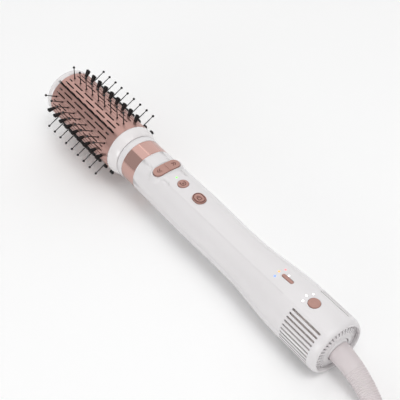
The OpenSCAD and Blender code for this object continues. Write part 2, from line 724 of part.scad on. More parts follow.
heater_path = [for (i = [0:16 * heater_turns]) let (a = 360 * i / 16)
  [-heater_at + 6 + heater_pitch * i / 16, wire_mid_r * cos(a), wire_mid_r * sin(a)]];
module heater_wire() color("#8f8a86") rested() swept(heater_path, heater_wire_d / 2, 6, [1, 0, 0]);
module thermostat() color(STEEL) rested() {
  box([-heater_front - 3.8, 0.5, 0.5], [-heater_front - 3, 8.4, 8.4]);
  translate([-heater_front - 3, 4.5, 4.5]) rod(0, 4, 3.6);
}

// Boards, switches, buttons and lamps
module board(x, w, z) box([-x[1], -w / 2, z], [-x[0], w / 2, z + board_t]);
module front_board() color(BOARD) rested() board(front_board_x, front_board_w, front_board_z);
module rear_board() color(BOARD) rested() board(rear_board_x, rear_board_w, rear_board_z);
module tact_switch(s, y, z) {
  box([-s - switch_w / 2, y - switch_w / 2, z], [-s + switch_w / 2, y + switch_w / 2, z + switch_h]);
  post(-s, y, z + switch_h - 0.1, z + switch_h + plunger_h, plunger_r);
}
module tact_switches() color(DARK) rested() {
  for (p = [[rocker_at, rocker_plunger_y], [rocker_at, -rocker_plunger_y], [round_at, 0], [oval_at, 0]])
    tact_switch(p[0], p[1], front_board_z + board_t);
  for (p = [heat_at, power_at]) tact_switch(p, 0, rear_board_z + board_t);
}
module rocker_pin() color(STEEL) rested() translate([0, 0, rocker_pin_z])
  rod(-rocker_at - lug_x - lug_t, -rocker_at + lug_x + lug_t, rocker_pin_r, small);
module rocker_button() color(ROSE) rested() difference() {
  union() {
    intersection() {
      translate([-rocker_at, 0, front_r - 2.8]) linear_extrude(10) rotate(90) stadium(rocker_l, rocker_w);
      translate([0, 0, rocker_top - rocker_crown]) rod(-rocker_at - 20, -rocker_at + 20, rocker_crown);
    }
    translate([-rocker_at, 0, rocker_pin_z]) rod(0.3 - rocker_round, rocker_round - 0.3, 2.2, small);
    for (side = [-1, 1])
      post(-rocker_at, side * rocker_plunger_y, front_switch_top() + 0.45, front_r - 2, stem_post_r);
  }
  translate([0, 0, rocker_pin_z]) rod(-rocker_at - 20, -rocker_at + 20, rocker_pin_r + run_gap, small);
  box([-rocker_at - rocker_w, -0.3, rocker_top - 0.3], [-rocker_at + rocker_w, 0.3, far]);
}
// A push button: its cap, the flange that keeps it in and the stem over its switch
function narrow_r(s, half) = min(handle_r(s - half - flange_w), handle_r(s + half + flange_w)) - wall;
function flange_top(s, half_l, half_w) =
  sqrt(pow(narrow_r(s, half_l), 2) - pow(half_w + flange_w, 2)) - flange_slack;
stem_post_r = 1.5;
module capped(l, w, z0, z1, edge = 0.4) {
  translate([0, 0, z0]) linear_extrude(z1 - z0 - edge) stadium(l, w);
  step = edge / 2;
  translate([0, 0, z1 - edge - 0.01]) linear_extrude(step + 0.01) stadium(l - step, w - step);
  translate([0, 0, z1 - step - 0.01]) linear_extrude(step + 0.01) stadium(l - 3.2 * step, w - 3.2 * step);
}
module push_button(s, l, w, top, switch_top) translate([-s, 0, 0]) {
  keep = flange_top(s, l / 2, w / 2);
  capped(l, w, keep - flange_t / 2, top);
  translate([0, 0, keep - flange_t]) linear_extrude(flange_t) stadium(l + 2 * flange_w, w + 2 * flange_w);
  foot = switch_top + press + fit;
  if (keep - flange_t > foot) post(0, 0, foot, keep - flange_t / 2, stem_post_r);
}
module round_button() color(ROSE) rested()
  push_button(round_at, 2 * round_r, 2 * round_r, top_z(round_at) + key_proud, front_switch_top());
key_proud = 0.25;
oval_rise = 1.2;
oval_dish = 24;
module oval_button() color(ROSE) rested() difference() {
  push_button(oval_at, oval_l, oval_w, top_z(oval_at) + oval_rise, front_switch_top());
  translate([-oval_at, 0, top_z(oval_at) + oval_rise + oval_dish - 0.6]) sphere(r = oval_dish, $fn = fine);
}
module heat_button() color(ROSE) rested()
  push_button(heat_at, heat_l, heat_w, top_z(heat_at) + key_proud, rear_switch_top());
module power_button() color(ROSE) rested()
  push_button(power_at, 2 * power_r, 2 * power_r, top_z(power_at) + key_proud, rear_switch_top());
module green_lamp() color("#8df56a") rested()
  lamp_at(-green_lamp_at[0], green_lamp_at[1], lamp_r, front_board_z + board_t);
module blue_lamp() color("#6f9dff") rested()
  lamp_at(-lamps_round_heat[1][0], lamps_round_heat[1][1], lamp_r, rear_board_z + board_t);
module amber_lamp() color("#ffc45c") rested()
  lamp_at(-lamps_round_heat[0][0], lamps_round_heat[0][1], lamp_r, rear_board_z + board_t);
module red_lamp() color("#ff7d7d") rested()
  lamp_at(-lamps_round_heat[2][0], lamps_round_heat[2][1], lamp_r, rear_board_z + board_t);
// The white lamps: three for the speed and a small one beside the heat button
module speed_lamps() color("#ffffff") rested() {
  for (p = speed_lamp_at) lamp_at(-p[0], p[1], speed_lamp_r, rear_board_z + board_t);
  lamp_at(-heat_mark_at[0], heat_mark_at[1], lamp_r, heat_mark_floor);
}

// Turning brush
collar_start_r = front_r + 0.9;
collar_end_r = barrel_r + collar_rise;
collar_web = collar_at + 3.6;
function collar_in(x) = mix(collar_start_r - 1.5, spigot_r - spigot_t, part(x, collar_web, barrel_at));
function collar_flare(t) =
  [mix(collar_start_r, collar_end_r, sin(90 * t)), mix(collar_at + 0.4, barrel_at - 0.7, t)];
module collar() color(WHITE) rested() revolved(concat(
  [[sleeve_r, collar_at], [collar_start_r - 0.5, collar_at]], [for (i = [0:8]) collar_flare(i / 8)],
  [[collar_end_r - 0.3, barrel_at], [spigot_r, barrel_at], [spigot_r, barrel_at + spigot_l],
  [spigot_r - spigot_t, barrel_at + spigot_l], [spigot_r - spigot_t, barrel_at],
  [collar_in(collar_web), collar_web], [sleeve_r, collar_web]]));
short_slot = 5;
first_slot = barrel_at + slot_start;
slot_pitch = (barrel_l - slot_start - short_slot - slot_end) / 4.5;
strip_slot_rear = last_bristle - tuft_base - 0.8;
module air_slot(x, l) translate([x, -slot_w / 2, barrel_r - 4]) cube([l, slot_w, 6]);
module barrel() color(ROSE) rested() difference() {
  pipe(barrel_at, barrel_end, barrel_r - barrel_t, barrel_r);
  for (k = [0:rows - 1]) {
    around(brush_turn + 360 / rows * k) {
      if (k % 2 == 0) for (i = [0:row_count - 1])
        translate([first_bristle - i * row_pitch, 0, barrel_r - 4]) cylinder(h = 6, r = ball_r, $fn = 24);
      else
        box([strip_slot_rear, -strip_slot_w / 2, barrel_r - 4],
          [barrel_end + 1, strip_slot_w / 2, barrel_r + 2]);
    }
    around(brush_turn + 360 / rows * (k + 1 / 3)) {
      air_slot(first_slot, short_slot);
      for (i = [0:3]) air_slot(first_slot + slot_pitch / 2 + slot_pitch * i, slot_l);
      air_slot(first_slot + 4.5 * slot_pitch, short_slot);
    }
    around(brush_turn + 360 / rows * (k + 2 / 3)) for (i = [0:4])
      air_slot(first_slot + slot_pitch * i, slot_l);
  }
}
module tip_cap() color(WHITE) rested() revolved(concat(
  [[0, barrel_end + cap_l - 2], [spigot_r - spigot_t, barrel_end + cap_l - 2],
  [spigot_r - spigot_t, barrel_end - spigot_l + 0.1], [spigot_r, barrel_end - spigot_l + 0.1],
  [spigot_r, barrel_end], [barrel_r, barrel_end]],
  [for (a = [0:10:90])
    [barrel_r - cap_round * (1 - cos(a)), barrel_end + cap_l - cap_round * (1 - sin(a))]],
  [[0, barrel_end + cap_l]]));
core_t = 4.1;
core_bar_r = strip_base_r - core_t;
module brush_core() color(DARK) rested() union() {
  revolved([[sleeve_r, collar_web], [collar_in(collar_web), collar_web],
    [collar_in(collar_at + 8), collar_at + 8], [sleeve_r, collar_at + 8]]);
  pipe(barrel_at + barrel_l / 2 - 2, barrel_at + barrel_l / 2 + 2, core_bar_r, core_bar_r + 2.6);
  pipe(barrel_end - 4, barrel_end - 1.2, spindle_r + run_gap, spigot_r - spigot_t);
  for (k = [0:rows - 1]) around(brush_turn + 360 / rows * k)
    box([collar_at + 7.5, -strip_w / 2 - 0.2, core_bar_r],
      [barrel_end - 3.5, strip_w / 2 + 0.2, strip_base_r]);
}
pin_foot = strip_top_r - 0.6;
ridge_r = barrel_r - strip_show;
ridge_half = strip_slot_w / 2 - fit;
module strand(from, to, r) let (way = to - from, l = norm(way)) translate(from)
  rotate([0, acos(way[2] / l), atan2(way[1], way[0])]) cylinder(h = l, r = r, $fn = 3);
// A flat fan of seven strands in two rows
module tuft() for (row = [0, 1], i = [0:3 - row]) let (share = (2 * i - 3 + row) / 3, side = 1 - 2 * row)
  strand([share * tuft_base, side * tuft_half, ridge_r - 0.5],
    [share * tuft_spread, side * tuft_half_out, tuft_r], strand_r);
module backing() box([strip_rear, -strip_w / 2, strip_base_r], [strip_front, strip_w / 2, strip_top_r]);
module ridge() {
  box([strip_slot_rear + fit, -ridge_half, strip_top_r - 0.1], [strip_front, ridge_half, ridge_r]);
  box([strip_front - 0.1, -ridge_half, spigot_r + fit], [barrel_end - fit, ridge_half, ridge_r]);
}
module tuft_strip(k) color(DARK) rested() around(brush_turn + 360 / rows * (2 * k - 1)) union() {
  backing();
  ridge();
  for (i = [0:row_count - 1]) translate([first_bristle - i * row_pitch, 0, 0]) tuft();
}
module pin_strip(k) color(DARK) rested() around(brush_turn + 720 / rows * k) union() {
  backing();
  for (i = [0:row_count - 1]) translate([first_bristle - i * row_pitch, 0, 0]) {
    translate([0, 0, pin_foot]) cylinder(h = pin_r - pin_foot, r = stem_r, $fn = 4);
    translate([0, 0, pin_r]) sphere(r = ball_r, $fn = small);
  }
}

// Mains lead: guard, free stretch, stored coil, tail and plug, placed on the table
guard_dir = [-cos(guard_droop), 0, -sin(guard_droop)];
function swivel_point(d) = laid([-swivel_at, 0, 0] + d * guard_dir);
guard_root = ball_front + body_gap;
guard_end = [-247.5, 9, 8];
guard_end_dir = unit([-9, 3.6, -1.6]);
function bezier(p, t) = let (u = 1 - t)
  pow(u, 3) * p[0] + 3 * t * pow(u, 2) * p[1] + 3 * t * t * u * p[2] + pow(t, 3) * p[3];
guard_curve = [swivel_point(guard_root), swivel_point(guard_root + 24),
  guard_end - 20 * guard_end_dir, guard_end];
guard_plain = 0.28;
guard_last = 0.97;
function guard_skin(t) = t < guard_plain ? mix(guard_root_r, guard_rib_r, sin(90 * t / guard_plain))
  : mix(guard_rib_r, guard_end_r, part(t, guard_plain, 1));
rib_deep = 0.35;
guard_steps = concat([for (i = [0:5]) [guard_plain * i / 5, 0]],
  [for (i = [0:2 * guard_ribs])
    [mix(guard_plain + 0.015, guard_last, i / (2 * guard_ribs)), i % 2 == 0 ? rib_deep : 0]],
  [[guard_last + 0.01, 0], [1, 0]]);
neck = [[-10, 5.5], [-8.3, 5.5], [-8.29, neck_r], [guard_root - 0.01, neck_r]];
module cord_guard() color("#e6dfe0") swept(
  concat([for (n = neck) swivel_point(n[0])], [for (s = guard_steps) bezier(guard_curve, s[0])]),
  concat([for (n = neck) n[1]], [for (s = guard_steps) guard_skin(s[0]) - s[1]]), 16);
coil_centre = [-320, -20.7];
coil_lift = 0.7;
coil_step = cord_d + coil_gap;
coil_total = 720 * coil_turns;
coil_soft = 40;
function coil_r(a) = coil_in_r + coil_step * (norm([a - coil_total / 2, coil_soft]) - coil_soft) / 360;
function coil_climb(a) = min(1, max(0, part(a, coil_total / 2 - 90, coil_total / 2 + 90)));
function coil_z(a) = coil_lift + cord_d / 2 + coil_step * ease(coil_climb(a));
function coil_point(a) = let (r = coil_r(a))
  [coil_centre[0] - r * sin(a), coil_centre[1] + r * cos(a), coil_z(a)];
coil_out_r = coil_r(0);
coil_path = concat([coil_point(0) + [cord_d, 0, 0]], [for (i = [0:24 * 2 * coil_turns]) coil_point(15 * i)],
  [coil_point(coil_total) - [0, cord_d, 0]]);
coil_least = min([for (i = [0:len(coil_path) - 1], j = [i + 12:1:len(coil_path) - 1])
  norm(coil_path[i] - coil_path[j])]) - cord_d;

module cord_coil() color("#e2dcdc") swept(coil_path, cord_d / 2, 6);
coil_start = coil_path[0];
lead_points = [guard_end, guard_end + cord_d * guard_end_dir,
  [-266, 17.5, 5], [-279.5, 24.5, 4.2], [-293, 29, 4.2], coil_start + [cord_d, 0, 0], coil_start];
function smooth(p, i, t) = let (
    a = p[max(i - 1, 0)],
    b = p[i],
    c = p[i + 1],
    d = p[min(i + 2, len(p) - 1)])
  (2 * b + (c - a) * t + (2 * a - 5 * b + 4 * c - d) * t * t + (3 * b - a - 3 * c + d) * pow(t, 3)) / 2;
function smoothed(p, n) =
  concat([for (i = [0:len(p) - 2], k = [0:n - 1]) smooth(p, i, k / n)], [p[len(p) - 1]]);
module cord_lead() color("#e2dcdc") swept(smoothed(lead_points, 3), cord_d / 2, 10);
coil_end = coil_path[len(coil_path) - 1];
coil_top = coil_lift + coil_step + cord_d;
plug_half_h = 13;
// Points of the tail, measured from the middle of the coil: it climbs over the coil and turns into the plug
tail_steps = [[-49, -23.5, 12], [-43.5, -33, 12], [-33.5, -42.5, 12], [-16, -52, 13],
  [6, -53, 18.5], [23.5, -42.5, 24], [31.5, -27.5, 27.5]];
plug_at = [coil_centre[0] + 33, coil_centre[1] - 7, coil_top + 0.1 + plug_half_h];
tail_points = concat([coil_end, coil_end - [0, cord_d, 0]],
  [for (p = tail_steps) [coil_centre[0], coil_centre[1], 0] + p], [plug_at - [0, cord_d, 0], plug_at]);
module cord_tail() color("#e2dcdc") swept(smoothed(tail_points, 3), cord_d / 2, 10);
module coil_tie() color("#d9d3d3") translate([coil_centre[0], coil_centre[1], 0]) rotate(135)
  rotate([90, 0, 0]) linear_extrude(10, center = true) difference() {
    translate([coil_in_r - cord_d / 2 - 1.6, 0])
      square([coil_out_r - coil_in_r + cord_d + 2.6, coil_step + cord_d + 1.6]);
    translate([coil_in_r - cord_d / 2 - 1, 0.6])
      square([coil_out_r - coil_in_r + cord_d + 1.4, coil_step + cord_d + 0.4]);
  }
plug_l = 44;
plug_r = 18.5;
module plug_body() color("#e6dfe0") translate(plug_at) intersection() {
  rotate([-90, 0, 0]) rotate_extrude($fn = fine) polygon([[0, 0], [4.9, 0], [6.6, 15], [9, 18], [14, 24],
    [plug_r - 1, 32], [plug_r, 36], [plug_r, plug_l - 1], [plug_r - 1, plug_l], [0, plug_l]]);
  cube([far, far, 2 * plug_half_h], center = true);
}
module plug_pins() color(STEEL) translate(plug_at) for (side = [-1, 1])
  translate([side * plug_pin_gap / 2, plug_l, 0]) rotate([-90, 0, 0]) {
    cylinder(h = plug_pin_l - 1, r = plug_pin_r, $fn = small);
    translate([0, 0, plug_pin_l - 1]) cylinder(h = 1, r1 = plug_pin_r, r2 = plug_pin_r - 0.8, $fn = small);
  }

echo(coil_least_gap = coil_least);
echo(frame = [shift_x, axis_h, rest_tilt]);
echo(plug_at = plug_at);

upper_shell();
lower_shell();
rear_grille();
air_filter();
swivel_socket();
swivel_ball();
trim_band();
nose_socket();
nose_ring();
nose_bearing();
air_tube();
gear_motor();
drive_pinion();
fan_housing();
fan_motor();
fan_shaft();
fan_impeller();
heater_sleeve();
heater_frame();
heater_wire();
thermostat();
front_board();
rear_board();
tact_switches();
case_screws();
rocker_pin();
rocker_button();
round_button();
oval_button();
heat_button();
power_button();
green_lamp();
blue_lamp();
amber_lamp();
red_lamp();
speed_lamps();
drive_sleeve();
collar();
barrel();
tip_cap();
brush_core();
tuft_strip(1);  // tuft_strip_1
tuft_strip(2);  // tuft_strip_2
tuft_strip(3);  // tuft_strip_3
tuft_strip(4);  // tuft_strip_4
tuft_strip(5);  // tuft_strip_5
tuft_strip(6);  // tuft_strip_6
pin_strip(1);  // pin_strip_1
pin_strip(2);  // pin_strip_2
pin_strip(3);  // pin_strip_3
pin_strip(4);  // pin_strip_4
pin_strip(5);  // pin_strip_5
pin_strip(6);  // pin_strip_6
cord_guard();
cord_lead();
cord_coil();
cord_tail();
coil_tie();
plug_body();
plug_pins();
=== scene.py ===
"""Looks of a hot air styler with a motor-turned round brush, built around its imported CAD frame."""

import json
import math

import bmesh
import bpy
from mathutils import Matrix, Vector
from mathutils.bvhtree import BVHTree


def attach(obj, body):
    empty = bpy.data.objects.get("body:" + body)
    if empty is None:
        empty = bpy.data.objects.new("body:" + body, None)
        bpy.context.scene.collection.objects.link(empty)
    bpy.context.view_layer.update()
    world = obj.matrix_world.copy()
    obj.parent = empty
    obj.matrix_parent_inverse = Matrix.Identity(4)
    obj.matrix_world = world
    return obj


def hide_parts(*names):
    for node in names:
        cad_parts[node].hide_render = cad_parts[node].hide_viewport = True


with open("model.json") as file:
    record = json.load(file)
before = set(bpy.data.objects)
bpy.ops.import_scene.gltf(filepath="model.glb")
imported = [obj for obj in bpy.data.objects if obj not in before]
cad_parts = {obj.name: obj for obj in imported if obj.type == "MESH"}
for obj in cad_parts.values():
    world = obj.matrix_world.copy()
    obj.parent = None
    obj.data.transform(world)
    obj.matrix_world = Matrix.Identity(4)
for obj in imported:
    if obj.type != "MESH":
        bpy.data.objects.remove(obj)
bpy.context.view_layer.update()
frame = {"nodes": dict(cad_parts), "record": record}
nodes = frame["nodes"]

MM = 0.001
# Pieces are drawn about the handle's axis in millimetres and then laid on the table as the CAD is:
# X to the brush tip with zero at the trim band's rear edge, Y to the panel's left, Z out of the panel
REST_TILT = math.radians(2.6897)
SHIFT_X = 49.3495
AXIS_HEIGHT = 36.7196
LAID = (
    Matrix.Scale(MM, 4)
    @ Matrix.Translation((SHIFT_X, 0, AXIS_HEIGHT))
    @ Matrix.Rotation(-REST_TILT, 4, "Y")
)


def put(name, data):
    """A new object in the scene, at the origin."""
    made = bpy.data.objects.new(name, data)
    bpy.context.scene.collection.objects.link(made)
    return made


# Camera, from the vanishing points of the styler in the photograph, in the frame of the handle's axis
CAMERA_AT = (-491.6, 326.0, 556.3)
CAMERA_RIGHT = (-0.6051, -0.7961, 0.0091)
CAMERA_DOWN = (-0.5687, 0.4242, -0.7047)
CAMERA_AHEAD = (0.5572, -0.4316, -0.7093)
LENS = 80.6
SENSOR = 36
view_camera = bpy.data.cameras.new("view_camera")
view_camera.lens = LENS
view_camera.sensor_width = SENSOR
view_camera.sensor_height = SENSOR
view_camera.sensor_fit = "HORIZONTAL"
view_camera.clip_start = 0.01
view_camera.clip_end = 50
camera = put("view_camera", view_camera)
camera_axes = Matrix([(CAMERA_RIGHT[i], -CAMERA_DOWN[i], -CAMERA_AHEAD[i]) for i in range(3)])
camera_turn = (Matrix.Rotation(-REST_TILT, 3, "Y") @ camera_axes).normalized()
camera.matrix_world = Matrix.Translation(LAID @ Vector(CAMERA_AT)) @ camera_turn.to_4x4()
bpy.context.scene.camera = camera
bpy.context.scene.view_settings.view_transform = "Standard"


# Materials
def linear(hex_colour):
    """sRGB hex to the linear colour that shaders take."""
    parts = [int(hex_colour[i : i + 2], 16) / 255 for i in (1, 3, 5)]
    return [p / 12.92 if p <= 0.04045 else ((p + 0.055) / 1.055) ** 2.4 for p in parts] + [1.0]


def add(tree, kind, settings=None, links=None):
    """Adds a node, sets its attributes and sockets, and links sockets to (node, output)."""
    made = tree.nodes.new(kind)
    for name, value in (settings or {}).items():
        if isinstance(name, int) or name in made.inputs:
            made.inputs[name].default_value = value
        else:
            setattr(made, name, value)
    for name, (source, output) in (links or {}).items():
        tree.links.new(source.outputs[output], made.inputs[name])
    return made


def start(name):
    """A new material, its node tree and its Object coordinates in millimetres."""
    made = bpy.data.materials.new(name)
    made.use_nodes = True
    tree = made.node_tree
    tree.nodes.clear()
    where = add(tree, "ShaderNodeTexCoord")
    scaled = add(
        tree,
        "ShaderNodeMapping",
        {"Scale": (1 / MM, 1 / MM, 1 / MM)},
        {"Vector": (where, "Object")},
    )
    return made, tree, scaled


def end(tree, shader):
    """Links a shader to the surface of its material."""
    add(tree, "ShaderNodeOutputMaterial", links={"Surface": (shader, 0)})


# Most of a noise lies between these values, which are stretched over the mottle and the roughness
NOISE_LOW = 0.3
NOISE_HIGH = 0.7
ROUGHNESS_VARIES = 0.07


def finished(
    name,
    colour,
    roughness,
    grain,
    rise,
    mottle,
    patch=9.0,
    metallic=0.0,
    ior=1.5,
    coat=0.0,
    coat_roughness=0.1,
    sheen=0.0,
    glow=None,
):
    """A surface with a fine grain and a faint mottle; grain, rise and patch are sizes in millimetres."""
    made, tree, scaled = start(name)
    grain_noise, patch_noise = [
        add(tree, "ShaderNodeTexNoise", {"Scale": 1 / size, "Detail": detail}, {"Vector": (scaled, 0)})
        for size, detail in ((grain, 3.0), (patch, 2.0))
    ]
    tint = add(
        tree,
        "ShaderNodeMapRange",
        {"From Min": NOISE_LOW, "From Max": NOISE_HIGH, "To Min": 1 - mottle, "To Max": 1 + mottle},
        {"Value": (patch_noise, 0)},
    )
    shade = add(
        tree,
        "ShaderNodeVectorMath",
        {"operation": "SCALE", 0: linear(colour)[:3]},
        {"Scale": (tint, 0)},
    )
    rough = add(
        tree,
        "ShaderNodeMapRange",
        {
            "From Min": NOISE_LOW,
            "From Max": NOISE_HIGH,
            "To Min": roughness * (1 - ROUGHNESS_VARIES),
            "To Max": min(1.0, roughness * (1 + ROUGHNESS_VARIES)),
        },
        {"Value": (grain_noise, 0)},
    )
    bump = add(
        tree,
        "ShaderNodeBump",
        {"Strength": 1.0, "Distance": rise * MM},
        {"Height": (grain_noise, 0)},
    )
    settings = {
        "Metallic": metallic,
        "Coat Weight": coat,
        "Coat Roughness": coat_roughness,
        "Sheen Weight": sheen,
    }
    if not metallic:
        settings["IOR"] = ior
    if glow:
        glow_colour, glow_strength = glow
        settings["Emission Color"] = linear(glow_colour)
        settings["Emission Strength"] = glow_strength
    shader = add(
        tree,
        "ShaderNodeBsdfPrincipled",
        settings,
        {"Base Color": (shade, 0), "Roughness": (rough, 0), "Normal": (bump, 0)},
    )
    end(tree, shader)
    return made


# Moulded ABS under a soft white lacquer: a satin skin with a very fine, even orange peel
satin_shell = finished(
    "satin_shell", "#e5e2e3", 0.42,
    grain=0.35, rise=0.006, mottle=0.01, patch=30, coat=1.0, coat_roughness=0.2,
)
# Pearl white ABS polished in the mould: a clear, glossy skin
gloss_collar = finished(
    "gloss_collar", "#e9e5e5", 0.16,
    grain=2.0, rise=0.004, mottle=0.01, patch=20, coat=1.0, coat_roughness=0.08,
)
# Anodised aluminium tube, fine blasted: metallic rose with a broad soft glint
rose_tube = finished(
    "rose_tube", "#c9a097", 0.36,
    grain=0.25, rise=0.01, mottle=0.02, patch=12, metallic=0.85,
)
# Vacuum-metallised rose gold on ABS: almost a mirror
rose_mirror = finished(
    "rose_mirror", "#d3aca3", 0.12,
    grain=2.0, rise=0.002, mottle=0.01, patch=20, metallic=1.0,
)
# Rose gold metallic lacquer on the keys: satin, a little grainy
rose_key = finished(
    "rose_key", "#bd948a", 0.38,
    grain=0.2, rise=0.012, mottle=0.03, patch=4, metallic=0.7,
)
# Laser engraving on the keys burns the lacquer to a dull dark rose; the same dark rose also paints shade in a
# ring just inside the oval key's edge
engraving_and_painted_shade = finished(
    "engraving_and_painted_shade", "#6b4741", 0.7,
    grain=0.2, rise=0.01, mottle=0.05, patch=1, metallic=0.2,
)
# Injection-moulded nylon bristles: black with a slight sheen along the strands
black_nylon = finished(
    "black_nylon", "#0e0d0f", 0.38,
    grain=0.3, rise=0.01, mottle=0.08, patch=3, ior=1.53,
)
# Glass-filled black nylon inside the brush and nose: dull and slightly mottled
dark_moulding = finished(
    "dark_moulding", "#2a292b", 0.6,
    grain=0.4, rise=0.02, mottle=0.08, patch=6,
)
# Glass-filled grey nylon of the core inside the barrel: dull
grey_moulding = finished(
    "grey_moulding", "#8b8481", 0.6,
    grain=0.4, rise=0.02, mottle=0.05, patch=6,
)
# Foam and mesh filter behind the slots: dull warm grey
filter_mesh = finished(
    "filter_mesh", "#e2dad6", 0.9,
    grain=0.7, rise=0.15, mottle=0.15, patch=2,
)
# Drawn steel: a fine brushed grey
drawn_steel = finished(
    "drawn_steel", "#b5b6b8", 0.32,
    grain=0.15, rise=0.008, mottle=0.03, patch=5, metallic=1.0,
)
# Oil-filled sintered bronze: dull yellow brown with open pores
sintered_bronze = finished(
    "sintered_bronze", "#9c8152", 0.5,
    grain=0.2, rise=0.03, mottle=0.06, patch=2, metallic=1.0,
)
# Acetal gear plastic: waxy off-white
waxy_acetal = finished(
    "waxy_acetal", "#dcd8d2", 0.35,
    grain=0.5, rise=0.008, mottle=0.02, patch=10,
)
# Pressed mica sheet: pale brown flakes with a pearly glint
mica_sheet = finished(
    "mica_sheet", "#b9a37c", 0.4,
    grain=0.8, rise=0.02, mottle=0.18, patch=2,
)
# Oxidised resistance wire: dark grey metal
heater_alloy = finished(
    "heater_alloy", "#7d7875", 0.45,
    grain=0.1, rise=0.01, mottle=0.08, patch=1, metallic=0.9,
)
# Glass-epoxy board under a green solder mask: smooth, with a thin gloss
solder_mask = finished(
    "solder_mask", "#2f6b4b", 0.3,
    grain=0.4, rise=0.01, mottle=0.06, patch=3, coat=0.3,
)
# Soft PVC of the lead, guard and plug: pinkish white and evenly satin
soft_pvc = finished(
    "soft_pvc", "#d8cfd0", 0.46,
    grain=0.4, rise=0.01, mottle=0.012, patch=25,
)
# Woven polyamide of the tie: matt, with a soft sheen
tie_band = finished(
    "tie_band", "#d7d0d0", 0.7,
    grain=0.5, rise=0.05, mottle=0.05, patch=2, sheen=0.3,
)
# Nickel-plated brass plug pins: a warm, polished grey
nickel = finished(
    "nickel", "#c8c4ba", 0.2,
    grain=1.0, rise=0.003, mottle=0.02, patch=6, metallic=1.0,
)


# Light guides of clear tinted acrylic, moulded smooth and lit from below: an even glow in their own colour
def light_guide(name, colour, roughness, glow_colour, glow_strength):
    """The finish of one colour of light guide."""
    glow = (glow_colour, glow_strength)
    return finished(name, colour, roughness, grain=1.0, rise=0.002, mottle=0.01, glow=glow)


lit_green = light_guide("lit_green", "#8df56a", 0.25, "#7ef25a", 0.9)
lit_blue = light_guide("lit_blue", "#86a8ff", 0.25, "#5f8dff", 0.7)
lit_amber = light_guide("lit_amber", "#ffc46e", 0.25, "#ffb048", 0.6)
lit_red = light_guide("lit_red", "#ff9a9a", 0.25, "#ff6a78", 0.6)
lit_white = light_guide("lit_white", "#ffffff", 0.3, "#ffffff", 0.9)

# The finish of each CAD node
FINISH = {
    satin_shell: "upper_shell lower_shell rear_grille swivel_socket swivel_ball nose_ring",
    gloss_collar: "collar tip_cap",
    rose_tube: "barrel",
    rose_mirror: "trim_band",
    rose_key: "rocker_button round_button oval_button heat_button power_button",
    dark_moulding: "nose_socket fan_housing fan_impeller tact_switches",
    grey_moulding: "brush_core",
    filter_mesh: "air_filter",
    drawn_steel: "air_tube gear_motor drive_pinion fan_motor fan_shaft thermostat case_screws rocker_pin",
    sintered_bronze: "nose_bearing",
    waxy_acetal: "drive_sleeve",
    mica_sheet: "heater_sleeve heater_frame",
    heater_alloy: "heater_wire",
    solder_mask: "front_board rear_board",
    soft_pvc: "plug_body",
    tie_band: "coil_tie",
    nickel: "plug_pins",
    lit_green: "green_lamp",
    lit_blue: "blue_lamp",
    lit_amber: "amber_lamp",
    lit_red: "red_lamp",
    lit_white: "speed_lamps",
}
for material, names in FINISH.items():
    for name in names.split():
        nodes[name].data.materials.clear()
        nodes[name].data.materials.append(material)


# Making pieces
def piece(name, shape, material, body, stands_for=(), smooth_angle=40, axis_frame=True):
    """Makes a bmesh a finished object that rides on a CAD body; one in the axis frame is laid first."""
    mesh = bpy.data.meshes.new(name)
    shape.to_mesh(mesh)
    shape.free()
    if axis_frame:
        mesh.transform(LAID)
    mesh.materials.append(material)
    made = put(name, mesh)
    for face in mesh.polygons:
        face.use_smooth = True
    mesh.set_sharp_from_angle(angle=math.radians(smooth_angle))
    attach(made, body)
    if stands_for:
        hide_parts(*stands_for)
    return made


MERGE_WITHIN = 0.000002
SKIN_ANGLE = 30


def smooth_copy(name):
    """A merged copy of a CAD node with soft shading over its finest steps; it stands for the node."""
    shape = bmesh.new()
    shape.from_mesh(nodes[name].data)
    bmesh.ops.remove_doubles(shape, verts=shape.verts[:], dist=MERGE_WITHIN)
    material = nodes[name].data.materials[0]
    bodies = frame["record"]["behaviour"]["bodies"]
    body = next(body for body, members in bodies.items() if name in members)
    return piece(f"{name}_skin", shape, material, body, [name], SKIN_ANGLE, axis_frame=False)


# The panel strip's half angle in degrees, and how far beneath the axis the centre of its crown lies
PANEL_EDGE = 26.81
CROWN_DROP = 7.55
# The saddle round the rocker belongs to neither of the two round forms: where it lies along the axis,
# and a height over the axis that all of it is above
SADDLE = (-38, -8)
SADDLE_ABOVE = 10
# Cosine of the largest angle between a face and a round form that it still belongs to
FORM_FITS = 0.997


def even_normals(skin):
    """Gives a shell's plain outer faces the normals of the round body and of the crown they are cut from."""
    mesh = skin.data
    to_axis = LAID.inverted()
    laid_turn = LAID.to_3x3().normalized()
    upright_turn = laid_turn.transposed()
    normals = [corner.vector.copy() for corner in mesh.corner_normals]
    for face in mesh.polygons:
        middle = to_axis @ face.center
        if SADDLE[0] < middle.x < SADDLE[1] and middle.z > SADDLE_ABOVE:
            continue
        on_panel = abs(math.degrees(math.atan2(middle.y, middle.z))) < PANEL_EDGE
        drop = CROWN_DROP if on_panel else 0.0
        across = (upright_turn @ face.normal).yz.normalized()
        for loop in face.loop_indices:
            place = to_axis @ mesh.vertices[mesh.loops[loop].vertex_index].co
            outwards = Vector((place.y, place.z + drop)).normalized()
            if across.dot(outwards) < FORM_FITS:
                continue
            along = (upright_turn @ normals[loop]).x
            spread = math.sqrt(max(0.0, 1 - along * along))
            normals[loop] = laid_turn @ Vector((along, outwards.x * spread, outwards.y * spread))
    mesh.normals_split_custom_set([tuple(normal) for normal in normals])


# Solids that are shown as they are, with soft shading
SHELLS = ("upper_shell", "lower_shell")
SKINNED = (*SHELLS, "rear_grille", "trim_band", "nose_ring", "collar", "barrel", "tip_cap", "swivel_ball")
for name in SKINNED:
    skin = smooth_copy(name)
    if name in SHELLS:
        even_normals(skin)


